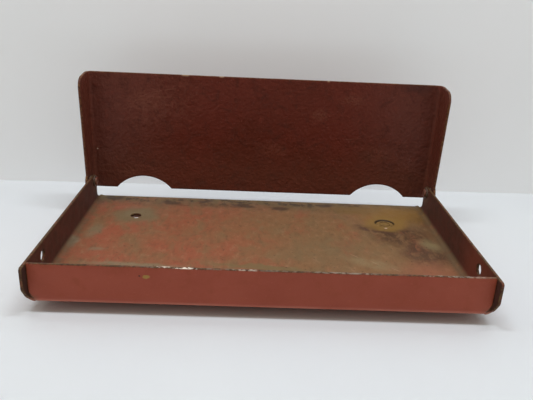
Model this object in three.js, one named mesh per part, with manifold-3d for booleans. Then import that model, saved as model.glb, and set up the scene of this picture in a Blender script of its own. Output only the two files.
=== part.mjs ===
// A shallow folded-steel drip tray with an upright splash guard.
// The guard is a second folded sheet that pivots on one rivet at each rear corner of the tray.
// The tray stands on four hex nuts welded under its floor, and one of them still holds a flat screw.
// Millimetres, +Z up, +Y towards the guard, origin under the middle of the outline.

import * as THREE from 'three';
import { mergeVertices } from 'three/addons/utils/BufferGeometryUtils.js';
import Module from 'manifold-3d';

const wasm = await Module();
wasm.setup();

// ---------------------------------------------------------------- driving dimensions

const SHEET = 2.3; // both folded pieces are cut from the same sheet
const BEND_SEGMENTS = 8; // facets in a quarter bend
const ROUND_SEGMENTS = 40; // facets round a hole or a rivet

// tray
const TRAY_WIDTH = 356; // outside of the side walls
const TRAY_DEPTH = 225; // front ends of the side walls to the rear edge of the floor
const WALL_HEIGHT = 32; // side walls
const LIP_HEIGHT = 32.5; // front wall
const LIP_SETBACK = 7.4; // the side walls run this far past the front wall
const WALL_BEND = 7; // outer radius of the side folds
const LIP_BEND = 3.2; // outer radius of the front fold
const CORNER_GAP = 1.2; // open slit between the front wall and each side wall
const LIP_CHAMFER = 9; // height of the clipped lower corners of the front wall
const WALL_CLIP_DEPTH = 8.2; // the side walls' lower front corners are clipped back this far,
const WALL_CLIP_LOW = 2; // from this height
const WALL_CLIP_HIGH = 14; // up to this one
const WALL_REAR = 213; // the side walls stop here, the floor runs on to the rear edge
const WALL_STUB = 2.6; // height of the fold that is left behind the side walls
const WALL_REAR_ROUND = 6; // radius of the side walls' upper rear corners

// holes in the tray
const SIDE_HOLE_RADIUS = 4.5;
const SIDE_HOLE_Y = 44; // from the front ends of the side walls
const SIDE_HOLE_Z = 20.5;
const FLOOR_HOLE_RADIUS = 5;
const FLOOR_HOLE_X = 127; // each pair of floor holes is 254 apart
const FLOOR_HOLE_REAR = 172;
const FLOOR_HOLE_FRONT = 53;
const SEAT_RADIUS = 9.8; // round the hole at the right rear, for the screw's flat head
const SEAT_DEPTH = 1.6;

// nuts under the floor, 3/8 inch size, and the screw in the right rear one
const NUT_FLATS = 14.3; // across flats
const NUT_HEIGHT = 8;
const NUT_BORE_RADIUS = 4.3;
const NUT_BORE_SEGMENTS = 6; // half the facets round the bore
const SCREW_SHANK_RADIUS = 3.9;
const SCREW_HEAD_RADIUS = 9.2;
const SCREW_HEAD_HEIGHT = 0.9;
const SCREW_HEAD_ROUND = 0.3;
const SCREW_END = 1.5; // the shank stops this far inside the nut's lower face

// guard
const SIDE_PLAY = 1.9; // space between each tray wall and the guard's cheek outside it
const GUARD_REAR = 224.7; // rear face of the guard
const GUARD_TOP = 137;
const GUARD_BOTTOM = 13; // lower edge of the guard, clear of the tray's floor
const GUARD_BEND = 6; // outer radius of the folds between the face and the cheeks
const CHEEK_FRONT_TOP = 190.8; // front edge of a cheek at its top
const CHEEK_FRONT_LOW = 197; // and where it runs into the ear
const CHEEK_TOP_FRONT = 132.5; // the cheek's top edge falls towards the front
const CHEEK_ROUND = 4; // radius of the cheek's upper front corner
const NOTCH_WIDTH = 59; // two shallow arches in the lower edge, in line with the floor holes
const NOTCH_RISE = 14;

// pivot
const PIVOT_Y = 204;
const PIVOT_Z = 26;
const EAR_RADIUS = 11; // rounded lower end of each cheek
const SHANK_RADIUS = 2.4;
const PIVOT_HOLE_RADIUS = 2.75;
const SLACK = 0.3; // free space beside each stacked piece
const HEAD_RADIUS = 6; // factory head, outside the cheek
const HEAD_HEIGHT = 2;
const TAIL_RADIUS = 4.6; // head formed inside the tray
const TAIL_HEIGHT = 1.9;
const WASHER_RADIUS = 5.8;
const INNER_WASHER = 1.2; // thickness
const OVERCUT = 5; // cutting tools run this far past the sheet
const WELD_GAP = 0.3; // between a nut and the floor above it

// ---------------------------------------------------------------- derived places

const trayHalf = TRAY_WIDTH / 2;
const trayInside = trayHalf - SHEET;
const cheekInside = trayHalf + SIDE_PLAY;
const cheekOutside = cheekInside + SHEET;
const guardFace = GUARD_REAR - SHEET;
const spacerThickness = SIDE_PLAY - 2 * SLACK;
const standHeight = NUT_HEIGHT + WELD_GAP; // from the resting surface to the underside of the floor

// ---------------------------------------------------------------- building tools

// A closed three.js geometry as a solid that can be joined and cut.
function solid(geometry) {
  const bare = geometry.clone();
  bare.deleteAttribute('normal');
  bare.deleteAttribute('uv');
  const merged = mergeVertices(bare, 1e-4);
  return new wasm.Manifold(new wasm.Mesh({
    numProp: 3,
    vertProperties: new Float32Array(merged.attributes.position.array),
    triVerts: new Uint32Array(merged.index.array),
  }));
}

function geometryOf(body) {
  const mesh = body.getMesh();
  const geometry = new THREE.BufferGeometry();
  geometry.setAttribute('position', new THREE.BufferAttribute(new Float32Array(mesh.vertProperties), 3));
  geometry.setIndex(new THREE.BufferAttribute(new Uint32Array(mesh.triVerts), 1));
  geometry.computeVertexNormals();
  return geometry;
}

function extrude(shape, depth, curveSegments) {
  return new THREE.ExtrudeGeometry(shape, { depth, curveSegments, bevelEnabled: false });
}

// An outline in (y, z), run from x = from to x = to.
function runAlongX(shape, from, to, curveSegments = BEND_SEGMENTS) {
  const geometry = extrude(shape, to - from, curveSegments);
  const turn = new THREE.Matrix4().makeBasis(
    new THREE.Vector3(0, 1, 0),
    new THREE.Vector3(0, 0, 1),
    new THREE.Vector3(1, 0, 0),
  );
  geometry.applyMatrix4(turn);
  geometry.translate(from, 0, 0);
  return solid(geometry);
}

// An outline in (x, z), run from y = from to y = to.
function runAlongY(shape, from, to, curveSegments = BEND_SEGMENTS) {
  const geometry = extrude(shape, to - from, curveSegments);
  geometry.rotateX(Math.PI / 2);
  geometry.translate(0, to, 0);
  return solid(geometry);
}

// An outline in (x, y), run from z = from to z = to.
function runAlongZ(shape, from, to, curveSegments = BEND_SEGMENTS) {
  const geometry = extrude(shape, to - from, curveSegments);
  geometry.translate(0, 0, from);
  return solid(geometry);
}

function box(x0, x1, y0, y1, z0, z1) {
  const geometry = new THREE.BoxGeometry(x1 - x0, y1 - y0, z1 - z0);
  geometry.translate((x0 + x1) / 2, (y0 + y1) / 2, (z0 + z1) / 2);
  return solid(geometry);
}

function cylinderAlong(axis, radius, length, x, y, z) {
  const geometry = new THREE.CylinderGeometry(radius, radius, length, ROUND_SEGMENTS);
  if (axis === 'x') geometry.rotateZ(Math.PI / 2);
  if (axis === 'z') geometry.rotateX(Math.PI / 2);
  geometry.translate(x, y, z);
  return solid(geometry);
}

function polygon(points) {
  return new THREE.Shape(points.map(([a, b]) => new THREE.Vector2(a, b)));
}

// A U-shaped sheet section: half width, height of the two legs, outer bend radius.
function channelOutline(half, legEnd, bend) {
  const inner = bend - SHEET;
  const shape = new THREE.Shape();
  shape.moveTo(-half, legEnd);
  shape.lineTo(-half, bend);
  shape.absarc(-half + bend, bend, bend, Math.PI, 1.5 * Math.PI, false);
  shape.lineTo(half - bend, 0);
  shape.absarc(half - bend, bend, bend, 1.5 * Math.PI, 2 * Math.PI, false);
  shape.lineTo(half, legEnd);
  shape.lineTo(half - SHEET, legEnd);
  shape.lineTo(half - SHEET, bend);
  shape.absarc(half - bend, bend, inner, 0, -0.5 * Math.PI, true);
  shape.lineTo(-half + bend, SHEET);
  shape.absarc(-half + bend, bend, inner, -0.5 * Math.PI, -Math.PI, true);
  shape.lineTo(-half + SHEET, legEnd);
  shape.closePath();
  return shape;
}

// ---------------------------------------------------------------- tray

// Front wall with the strip of floor it is folded from, as an outline in (y, z).
function lipOutline() {
  const front = LIP_SETBACK;
  const fold = LIP_SETBACK + LIP_BEND;
  const lap = fold + SHEET;
  const shape = new THREE.Shape();
  shape.moveTo(lap, 0);
  shape.lineTo(lap, SHEET);
  shape.lineTo(fold, SHEET);
  shape.absarc(fold, LIP_BEND, LIP_BEND - SHEET, -0.5 * Math.PI, -Math.PI, true);
  shape.lineTo(front + SHEET, LIP_HEIGHT);
  shape.lineTo(front, LIP_HEIGHT);
  shape.lineTo(front, LIP_BEND);
  shape.absarc(fold, LIP_BEND, LIP_BEND, Math.PI, 1.5 * Math.PI, false);
  shape.closePath();
  return shape;
}

// The front wall, with its lower corners clipped clear of the side folds.
function frontLip() {
  const lipHalf = trayInside - CORNER_GAP;
  const foldHalf = trayHalf - WALL_BEND - CORNER_GAP;
  const clipStart = foldHalf - 1.5;
  let lip = runAlongX(lipOutline(), -lipHalf, lipHalf);
  for (const side of [-1, 1]) {
    const clip = polygon([
      [side * clipStart, 0],
      [side * lipHalf, LIP_CHAMFER],
      [side * (lipHalf + OVERCUT), LIP_CHAMFER],
      [side * (lipHalf + OVERCUT), -OVERCUT],
      [side * clipStart, -OVERCUT],
    ]);
    lip = lip.subtract(runAlongY(clip, 0, LIP_SETBACK + LIP_BEND));
    const strip = [side * foldHalf, side * (lipHalf + OVERCUT)].sort((a, b) => a - b);
    const low = LIP_SETBACK + LIP_BEND - 1;
    lip = lip.subtract(box(strip[0], strip[1], low, low + OVERCUT, -OVERCUT, LIP_BEND));
  }
  return lip;
}

// What is cut away behind each side wall: all but the start of the fold, with a rounded corner.
function wallRearCut() {
  const top = WALL_HEIGHT + OVERCUT;
  const shape = new THREE.Shape();
  shape.moveTo(WALL_REAR, WALL_STUB);
  shape.lineTo(TRAY_DEPTH + OVERCUT, WALL_STUB);
  shape.lineTo(TRAY_DEPTH + OVERCUT, top);
  shape.lineTo(WALL_REAR - WALL_REAR_ROUND, top);
  shape.lineTo(WALL_REAR - WALL_REAR_ROUND, WALL_HEIGHT);
  shape.absarc(
    WALL_REAR - WALL_REAR_ROUND,
    WALL_HEIGHT - WALL_REAR_ROUND,
    WALL_REAR_ROUND,
    0.5 * Math.PI,
    0,
    true,
  );
  shape.closePath();
  return shape;
}

// The clipped lower front corner of the side walls, as an outline in (y, z).
function wallFrontCut() {
  return polygon([
    [-OVERCUT, -OVERCUT],
    [WALL_CLIP_DEPTH, -OVERCUT],
    [WALL_CLIP_DEPTH, WALL_CLIP_LOW],
    [0, WALL_CLIP_HIGH],
    [-OVERCUT, WALL_CLIP_HIGH],
  ]);
}

// The seat round one floor hole, as a flat-bottomed recess cut into the sheet's top.
function floorSeat(x, y) {
  const slope = SEAT_DEPTH / 6;
  const profile = [
    new THREE.Vector2(0, SHEET - SEAT_DEPTH),
    new THREE.Vector2(SEAT_RADIUS - slope, SHEET - SEAT_DEPTH),
    new THREE.Vector2(SEAT_RADIUS, SHEET),
    new THREE.Vector2(SEAT_RADIUS, SHEET + OVERCUT),
    new THREE.Vector2(0, SHEET + OVERCUT),
  ];
  const geometry = new THREE.LatheGeometry(profile, ROUND_SEGMENTS);
  geometry.rotateX(Math.PI / 2);
  geometry.translate(x, y, 0);
  return solid(geometry);
}

function trayBody() {
  const outline = channelOutline(trayHalf, WALL_HEIGHT, WALL_BEND);
  const foldHalf = trayHalf - WALL_BEND;
  const floorStart = LIP_SETBACK + LIP_BEND;
  let tray = runAlongY(outline, 0, TRAY_DEPTH);
  tray = tray.subtract(box(-foldHalf, foldHalf, -OVERCUT, floorStart, -OVERCUT, WALL_HEIGHT + OVERCUT));
  for (const cut of [wallFrontCut(), wallRearCut()]) {
    tray = tray.subtract(runAlongX(cut, -trayHalf - OVERCUT, trayHalf + OVERCUT));
  }
  tray = tray.add(frontLip());
  for (const side of [-1, 1]) {
    const wallX = side * (trayHalf - SHEET / 2);
    const reach = SHEET * 3;
    tray = tray.subtract(cylinderAlong('x', SIDE_HOLE_RADIUS, reach, wallX, SIDE_HOLE_Y, SIDE_HOLE_Z));
    tray = tray.subtract(cylinderAlong('x', PIVOT_HOLE_RADIUS, reach, wallX, PIVOT_Y, PIVOT_Z));
    for (const holeY of [FLOOR_HOLE_FRONT, FLOOR_HOLE_REAR]) {
      const holeX = side * FLOOR_HOLE_X;
      tray = tray.subtract(cylinderAlong('z', FLOOR_HOLE_RADIUS, reach, holeX, holeY, SHEET / 2));
    }
  }
  return tray.subtract(floorSeat(FLOOR_HOLE_X, FLOOR_HOLE_REAR));
}

// ---------------------------------------------------------------- guard

// Side view of the guard in (y, z): a tapered cheek that ends in a round ear at the pivot.
function cheekOutline() {
  const behind = GUARD_REAR + OVERCUT;
  const reachY = behind - PIVOT_Y;
  const reachZ = GUARD_BOTTOM - PIVOT_Z;
  const lowTangent = Math.atan2(reachZ, reachY) - Math.acos(EAR_RADIUS / Math.hypot(reachY, reachZ));
  const frontTurn = Math.acos((CHEEK_FRONT_LOW - PIVOT_Y) / EAR_RADIUS);
  const cornerZ = CHEEK_TOP_FRONT - CHEEK_ROUND;
  const shape = new THREE.Shape();
  shape.moveTo(behind, GUARD_TOP);
  shape.lineTo(behind, GUARD_BOTTOM);
  shape.absarc(PIVOT_Y, PIVOT_Z, EAR_RADIUS, lowTangent, frontTurn, true);
  shape.lineTo(CHEEK_FRONT_TOP, cornerZ);
  shape.absarc(CHEEK_FRONT_TOP + CHEEK_ROUND, cornerZ, CHEEK_ROUND, Math.PI, 0.6 * Math.PI, true);
  shape.lineTo(guardFace - GUARD_BEND, GUARD_TOP);
  shape.closePath();
  return shape;
}

function guardBody() {
  const cheekLength = GUARD_REAR - CHEEK_FRONT_TOP + OVERCUT;
  const plan = runAlongZ(channelOutline(cheekOutside, cheekLength, GUARD_BEND), GUARD_BOTTOM, GUARD_TOP)
    .rotate([0, 0, 180])
    .translate([0, GUARD_REAR, 0]);
  let guard = plan.intersect(runAlongX(cheekOutline(), -cheekOutside - OVERCUT, cheekOutside + OVERCUT));
  const notchRadius = ((NOTCH_WIDTH / 2) ** 2 + NOTCH_RISE ** 2) / (2 * NOTCH_RISE);
  const notchZ = GUARD_BOTTOM + NOTCH_RISE - notchRadius;
  for (const side of [-1, 1]) {
    const arch = new THREE.CylinderGeometry(notchRadius, notchRadius, SHEET * 4, ROUND_SEGMENTS * 3);
    arch.translate(side * FLOOR_HOLE_X, GUARD_REAR, notchZ);
    guard = guard.subtract(solid(arch));
    const cheekX = side * (cheekOutside - SHEET / 2);
    guard = guard.subtract(cylinderAlong('x', PIVOT_HOLE_RADIUS, SHEET * 3, cheekX, PIVOT_Y, PIVOT_Z));
  }
  return guard;
}

// ---------------------------------------------------------------- pivot pieces

// Turned about the local +Y axis, with the profile given as (radius, place along the axis).
function turned(points, side) {
  const profile = points.map(([radius, along]) => new THREE.Vector2(radius, along));
  const geometry = new THREE.LatheGeometry(profile, ROUND_SEGMENTS);
  geometry.rotateZ(-side * Math.PI / 2);
  return geometryOf(solid(geometry));
}

// A low domed head outside the guard's cheek, and a smaller head formed inside the tray.
function rivet(side) {
  const tailInner = trayInside - 2 * SLACK - INNER_WASHER;
  const tailEnd = tailInner - TAIL_HEIGHT;
  const headBase = cheekOutside + SLACK;
  const crown = headBase + HEAD_HEIGHT;
  return turned([
    [0, tailEnd],
    [TAIL_RADIUS * 0.72, tailEnd],
    [TAIL_RADIUS, tailEnd + TAIL_HEIGHT * 0.4],
    [TAIL_RADIUS, tailInner],
    [SHANK_RADIUS, tailInner],
    [SHANK_RADIUS, headBase],
    [HEAD_RADIUS, headBase],
    [HEAD_RADIUS * 0.94, headBase + HEAD_HEIGHT * 0.45],
    [HEAD_RADIUS * 0.72, headBase + HEAD_HEIGHT * 0.8],
    [HEAD_RADIUS * 0.38, headBase + HEAD_HEIGHT * 0.97],
    [0, crown],
  ], side);
}

function washer(inner, thickness, side) {
  const outer = inner + thickness;
  return turned([
    [PIVOT_HOLE_RADIUS, inner],
    [WASHER_RADIUS, inner],
    [WASHER_RADIUS, outer],
    [PIVOT_HOLE_RADIUS, outer],
    [PIVOT_HOLE_RADIUS, inner],
  ], side);
}

// ---------------------------------------------------------------- nuts and screw

// A hex nut that hangs just below z = 0.
function nut() {
  const corner = NUT_FLATS / Math.sqrt(3);
  const outline = polygon([0, 1, 2, 3, 4, 5].map((step) => {
    const turn = step * Math.PI / 3;
    return [corner * Math.cos(turn), corner * Math.sin(turn)];
  }));
  outline.holes.push(new THREE.Path().absarc(0, 0, NUT_BORE_RADIUS, 0, 2 * Math.PI, true));
  return geometryOf(runAlongZ(outline, -WELD_GAP - NUT_HEIGHT, -WELD_GAP, NUT_BORE_SEGMENTS));
}

// A screw with a thin flat head that lies in the floor's seat, without its thread.
function seatedScrew() {
  const headBase = SHEET - SEAT_DEPTH + 0.2;
  const headTop = headBase + SCREW_HEAD_HEIGHT;
  const end = -WELD_GAP - NUT_HEIGHT + SCREW_END;
  const geometry = new THREE.LatheGeometry([
    new THREE.Vector2(0, end),
    new THREE.Vector2(SCREW_SHANK_RADIUS, end),
    new THREE.Vector2(SCREW_SHANK_RADIUS, headBase),
    new THREE.Vector2(SCREW_HEAD_RADIUS, headBase),
    new THREE.Vector2(SCREW_HEAD_RADIUS, headTop - SCREW_HEAD_ROUND),
    new THREE.Vector2(SCREW_HEAD_RADIUS - SCREW_HEAD_ROUND, headTop),
    new THREE.Vector2(0, headTop),
  ], ROUND_SEGMENTS);
  geometry.rotateX(Math.PI / 2);
  return geometryOf(solid(geometry));
}

// ---------------------------------------------------------------- assembly

function material(color, roughness, metalness) {
  return new THREE.MeshStandardMaterial({ color, roughness, metalness });
}

const drip = new THREE.Group();

// Places are measured from the front ends of the side walls and the underside of the floor,
// then centred front to back and raised by the nuts' height.
const parts = new THREE.Group();
parts.position.set(0, -TRAY_DEPTH / 2, standHeight);
drip.add(parts);

function place(name, geometry, look, x = 0, y = 0, z = 0) {
  const mesh = new THREE.Mesh(geometry, look);
  mesh.name = name;
  mesh.position.set(x, y, z);
  parts.add(mesh);
}

place('tray_pan', geometryOf(trayBody()), material(0x7a3f32, 0.55, 0.1));
place('splash_guard', geometryOf(guardBody()), material(0x5c2a24, 0.5, 0.1));
for (const [side, label] of [[-1, 'left'], [1, 'right']]) {
  const spacerInner = trayHalf + SLACK;
  const washerInner = trayInside - SLACK - INNER_WASHER;
  place(`pivot_rivet_${label}`, rivet(side), material(0x6b3a30, 0.5, 0.3), 0, PIVOT_Y, PIVOT_Z);
  const spacer = washer(spacerInner, spacerThickness, side);
  place(`spacer_washer_${label}`, spacer, material(0x5a4a40, 0.55, 0.6), 0, PIVOT_Y, PIVOT_Z);
  const inside = washer(washerInner, INNER_WASHER, side);
  place(`inner_washer_${label}`, inside, material(0x6b4a3a, 0.55, 0.5), 0, PIVOT_Y, PIVOT_Z);
  for (const [y, row] of [[FLOOR_HOLE_FRONT, 'front'], [FLOOR_HOLE_REAR, 'rear']]) {
    place(`weld_nut_${row}_${label}`, nut(), material(0x5f4034, 0.6, 0.5), side * FLOOR_HOLE_X, y);
  }
}
place('floor_screw', seatedScrew(), material(0x6e5236, 0.5, 0.4), FLOOR_HOLE_X, FLOOR_HOLE_REAR);

export default drip;
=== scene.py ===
# A folded-steel drip tray on four weld nuts, with a splash guard that pivots at its rear corners.
# The sheets are drawn as flat blanks, meshed, and folded; the hardware is turned from profiles.
# Everything is in metres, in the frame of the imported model.
import math

import bpy
import numpy as np
from mathutils import Matrix, Vector, noise
from mathutils.geometry import delaunay_2d_cdt
from mathutils.kdtree import KDTree


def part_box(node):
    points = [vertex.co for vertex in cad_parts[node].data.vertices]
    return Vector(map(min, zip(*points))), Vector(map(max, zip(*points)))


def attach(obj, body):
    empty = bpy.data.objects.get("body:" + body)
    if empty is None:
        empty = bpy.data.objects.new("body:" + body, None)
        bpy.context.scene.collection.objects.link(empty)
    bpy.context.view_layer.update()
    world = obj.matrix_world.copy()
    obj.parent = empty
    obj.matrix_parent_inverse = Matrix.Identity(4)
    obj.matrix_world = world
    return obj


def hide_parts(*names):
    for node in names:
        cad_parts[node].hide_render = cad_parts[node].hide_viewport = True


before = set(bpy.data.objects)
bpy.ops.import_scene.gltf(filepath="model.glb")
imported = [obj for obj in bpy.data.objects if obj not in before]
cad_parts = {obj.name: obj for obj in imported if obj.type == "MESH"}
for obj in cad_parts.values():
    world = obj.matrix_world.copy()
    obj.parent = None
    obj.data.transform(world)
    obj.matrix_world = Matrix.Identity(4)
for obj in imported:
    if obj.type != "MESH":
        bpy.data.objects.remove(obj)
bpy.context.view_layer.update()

MM = 0.001

# ---------------------------------------------------------------- sizes

SHEET = 2.3 * MM
EDGE_ROUND = 0.45 * MM  # worn rounding of a cut edge
RING_STEP = 1.5 * MM  # spacing of points along a cut edge
GRID_STEP = 3.2 * MM  # spacing of points on a flat stretch
BEND_ROWS = 10

tray_low, tray_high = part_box("tray_pan")
guard_low, guard_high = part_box("splash_guard")
nut_low, nut_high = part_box("weld_nut_rear_right")
screw_low, screw_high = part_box("floor_screw")

FLOOR_Z = tray_low.z
FLOOR_TOP = FLOOR_Z + SHEET
TRAY_HALF = tray_high.x
TRAY_FRONT = tray_low.y
TRAY_REAR = tray_high.y
WALL_HEIGHT = 32 * MM
WALL_BEND = 7 * MM
LIP_BEND = 3.2 * MM
LIP_SETBACK = 7.4 * MM
LIP_HEIGHT = tray_high.z - FLOOR_Z
LIP_END = 0.2 * MM  # slit between the front wall and each side wall
LIP_CLIP = 9 * MM  # height of the clipped lower corners
LIP_SPREAD = 17 * MM  # length given to the front fold in the blank
WALL_CLIP_Y = TRAY_FRONT + 8.2 * MM  # the side walls' lower front corners are clipped back to here
WALL_CLIP_LOW = 2 * MM
WALL_CLIP_HIGH = 14 * MM
WALL_REAR = TRAY_FRONT + 213 * MM
STUB_HEIGHT = 2.7 * MM  # what is left of each side fold behind its wall
STUB_ROUND = 8.3 * MM
STUB_END_ROUND = 3.6 * MM
WALL_REAR_ROUND = 6 * MM
EDGE_WANDER = 0.16 * MM  # how far a cut edge wanders inward

HOLE_X = (nut_low.x + nut_high.x) / 2
HOLE_Y = (nut_low.y + nut_high.y) / 2
HOLE_RADIUS = 5 * MM
SEAT_RADIUS = 9.8 * MM
SEAT_DEPTH = 1.6 * MM
SIDE_HOLE_RADIUS = 4.5 * MM
SIDE_HOLE_Y = TRAY_FRONT + 44 * MM
SIDE_HOLE_HEIGHT = 20.5 * MM

GUARD_BEND = 6 * MM
GUARD_REAR = guard_high.y
GUARD_TOP = guard_high.z
GUARD_BOTTOM = FLOOR_Z + 13.4 * MM
NOTCH_RADIUS = 38.1 * MM
NOTCH_TOP = FLOOR_Z + 27 * MM
PIVOT_Y = TRAY_FRONT + 204 * MM
PIVOT_Z = FLOOR_Z + 26 * MM
PIVOT_HOLE = 2.75 * MM
EAR_RADIUS = 11 * MM
CHEEK_FRONT = guard_low.y
CHEEK_LOW_FRONT = TRAY_FRONT + 197 * MM
CHEEK_DROP = 2.2 * MM  # the cheek's top edge falls this much towards its front


# ---------------------------------------------------------------- outlines

def rounded(corners, step=0.8 * MM):
    """A closed outline from (u, v, radius) corners, each replaced by an arc of its radius."""
    points = []
    count = len(corners)
    for i, (u, v, radius) in enumerate(corners):
        here = Vector((u, v))
        if radius == 0:
            points.append(here)
            continue
        before = Vector(corners[i - 1][:2]) - here
        after = Vector(corners[(i + 1) % count][:2]) - here
        before.normalize()
        after.normalize()
        half = before.angle(after) / 2
        reach = radius / math.tan(half)
        centre = here + (before + after).normalized() * (radius / math.sin(half))
        first = here + before * reach - centre
        sweep = first.angle_signed(here + after * reach - centre)
        pieces = max(3, int(abs(sweep) * radius / step))
        for k in range(pieces + 1):
            turned = first.copy()
            turned.rotate(Matrix.Rotation(-sweep * k / pieces, 2))
            points.append(centre + turned)
    return points


def dense(points, step=RING_STEP):
    """The same closed outline with its long edges divided."""
    result = []
    for i, point in enumerate(points):
        following = points[(i + 1) % len(points)]
        pieces = max(1, round((following - point).length / step))
        for k in range(pieces):
            result.append(point.lerp(following, k / pieces))
    return result


def circle(u, v, radius, count=44):
    """A hole's outline, clockwise, so that the sheet lies on its left as it does for the outer edge."""
    return [
        Vector((u + radius * math.cos(-a), v + radius * math.sin(-a)))
        for a in (2 * math.pi * k / count for k in range(count))
    ]


def inward(points):
    """Unit-spacing inward directions of a closed outline, mitred at its corners."""
    ring = np.array([p[:] for p in points])
    edge = np.roll(ring, -1, 0) - ring
    edge /= np.linalg.norm(edge, axis=1)[:, None]
    left = np.stack([-edge[:, 1], edge[:, 0]], 1)
    previous = np.roll(left, 1, 0)
    together = 1 + (left * previous).sum(1)
    return (left + previous) / np.maximum(together, 0.35)[:, None]


def inside(points, ring):
    """Which points lie inside a closed ring."""
    found = np.zeros(len(points), bool)
    x, y = points[:, 0], points[:, 1]
    ax, ay = ring[-1]
    for bx, by in ring:
        crosses = (by > y) != (ay > y)
        if crosses.any() and ay != by:
            found ^= crosses & (x < (ax - bx) * (y - by) / (ay - by) + bx)
        ax, ay = bx, by
    return found


# ---------------------------------------------------------------- sheet metal

def mesh_object(name, vertices, faces, smooth=True):
    mesh = bpy.data.meshes.new(name)
    mesh.from_pydata([tuple(map(float, v)) for v in vertices], [], faces)
    mesh.update()
    for face in mesh.polygons:
        face.use_smooth = smooth
    made = bpy.data.objects.new(name, mesh)
    bpy.context.scene.collection.objects.link(made)
    return made


def fold_rows(start, length):
    return [start + length * k / BEND_ROWS for k in range(BEND_ROWS + 1)]


def spaced(low, high, step):
    pieces = max(1, round((high - low) / step))
    return [low + (high - low) * k / pieces for k in range(pieces + 1)]


def wobbled(loop, amount):
    """A cut edge that wanders inward by up to the amount."""
    towards = inward(loop)
    moved = []
    for point, way in zip(loop, towards):
        low = noise.noise(Vector((point.x * 70, point.y * 70, 3.1)))
        high = noise.noise(Vector((point.x * 420, point.y * 420, 8.7)))
        depth = amount * (0.5 + 0.35 * low + 0.25 * high)
        moved.append(point + Vector(way) * min(max(depth, 0), amount))
    return moved


def sheet_piece(name, loops, columns, rows, place, extra=(), lower=None):
    """A folded sheet: flat outlines, meshed on a grid, given thickness with rounded cut edges,
    and folded by place(u, v, h), where h is the height above the outer face."""
    rims = [np.array([p[:] for p in loop]) for loop in loops]
    ways = [inward(loop) for loop in loops]
    flat = []
    rim_edges = []
    for rim, way in zip(rims, ways):
        start = len(flat)
        flat.extend((rim + way * EDGE_ROUND).tolist())
        rim_edges.extend((start + k, start + (k + 1) % len(rim)) for k in range(len(rim)))
    ring_count = len(flat)
    near = KDTree(ring_count)
    for k, point in enumerate(flat):
        near.insert((point[0], point[1], 0), k)
    near.balance()
    second = []
    for rim, way in zip(rims, ways):
        second.extend((rim + way * 3 * EDGE_ROUND)[::2].tolist())
    grid = [(u, v) for u in columns for v in rows] + list(extra)
    edge_rings = [rim + way * EDGE_ROUND for rim, way in zip(rims, ways)]
    for candidates, clear in ((second, 1.5 * EDGE_ROUND), (grid, 2.2 * EDGE_ROUND)):
        array = np.array(candidates)
        keep = inside(array, edge_rings[0])
        for ring in edge_rings[1:]:
            keep &= ~inside(array, ring)
        for (u, v), kept in zip(candidates, keep):
            if kept and near.find((u, v, 0))[2] > clear:
                flat.append([u, v])
    found = delaunay_2d_cdt([Vector(p) for p in flat], rim_edges, [], 0, 1e-7, True)
    points = np.array([p[:] for p in found[0]])
    triangles = np.array(found[2])
    number = {original: k for k, group in enumerate(found[3]) for original in group}
    middle = points[triangles].mean(1)
    keep = inside(middle, edge_rings[0])
    for ring in edge_rings[1:]:
        keep &= ~inside(middle, ring)
    triangles = triangles[keep]

    total = len(points)
    drop = lower(points[:, 0], points[:, 1]) if lower else np.zeros(total)
    upper = place(points[:, 0], points[:, 1], SHEET - drop)
    under = place(points[:, 0], points[:, 1], np.zeros(total))
    vertices = [upper, under]
    wear_and_glint = np.zeros(total)
    wear_and_glint[[number[k] for k in range(ring_count)]] = 0.6
    wear = [wear_and_glint, wear_and_glint]
    faces = triangles.tolist() + (triangles[:, ::-1] + total).tolist()
    base = 2 * total
    start = 0
    lift = EDGE_ROUND * (1 - math.sqrt(0.5))
    profile = [(lift, SHEET - lift), (0, SHEET - EDGE_ROUND), (0, EDGE_ROUND), (lift, lift)]
    for rim, way in zip(rims, ways):
        count = len(rim)
        ids = [[number[start + k] for k in range(count)]]
        for inset, height in profile:
            ring = rim + way * inset
            vertices.append(place(ring[:, 0], ring[:, 1], np.full(count, height)))
            wear.append(np.ones(count))
            ids.append(list(range(base, base + count)))
            base += count
        ids.append([number[start + k] + total for k in range(count)])
        for above, below in zip(ids, ids[1:]):
            for k in range(count):
                after = (k + 1) % count
                faces.append((above[k], below[k], below[after], above[after]))
        start += count
    made = mesh_object(name, np.concatenate(vertices), faces)
    attribute = made.data.attributes.new("edge", "FLOAT", "POINT")
    attribute.data.foreach_set("value", np.concatenate(wear))
    return made


def quarter(along, height, radius):
    """Outward and upward places of a point that has gone a length along past a fold's start."""
    arc = (radius - SHEET / 2) * math.pi / 2
    angle = np.clip(along / arc, 0, 1) * math.pi / 2
    beyond = np.maximum(along - arc, 0)
    return (radius - height) * np.sin(angle), radius - (radius - height) * np.cos(angle) + beyond


def waves(a, b, size, seed):
    """Gentle unevenness from 0 to 1, in numpy."""
    total = np.zeros_like(a)
    for k, (fa, fb) in enumerate(((1.0, 0.6), (-0.7, 1.3), (1.9, -1.1), (0.4, 2.3))):
        total += np.sin((fa * a + fb * b) / size + seed * (k + 1) * 1.7)
    return 0.5 + total / 8


# ---------------------------------------------------------------- tray

FOLD_X = TRAY_HALF - WALL_BEND
FOLD_Y = TRAY_FRONT + LIP_SETBACK + LIP_BEND
SIDE_ARC = (WALL_BEND - SHEET / 2) * math.pi / 2
WALL_END = FOLD_X + SIDE_ARC + WALL_HEIGHT - WALL_BEND  # the top of a side wall in the blank
LIP_TOP_V = FOLD_Y - LIP_SPREAD - (LIP_HEIGHT - LIP_BEND)
LIP_HALF = TRAY_HALF - SHEET - LIP_END
LOW_INSET = 1.5 * MM  # the front wall's lower corners stay this far inside the side folds
LIP_LOW_HALF = FOLD_X - LOW_INSET


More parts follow.
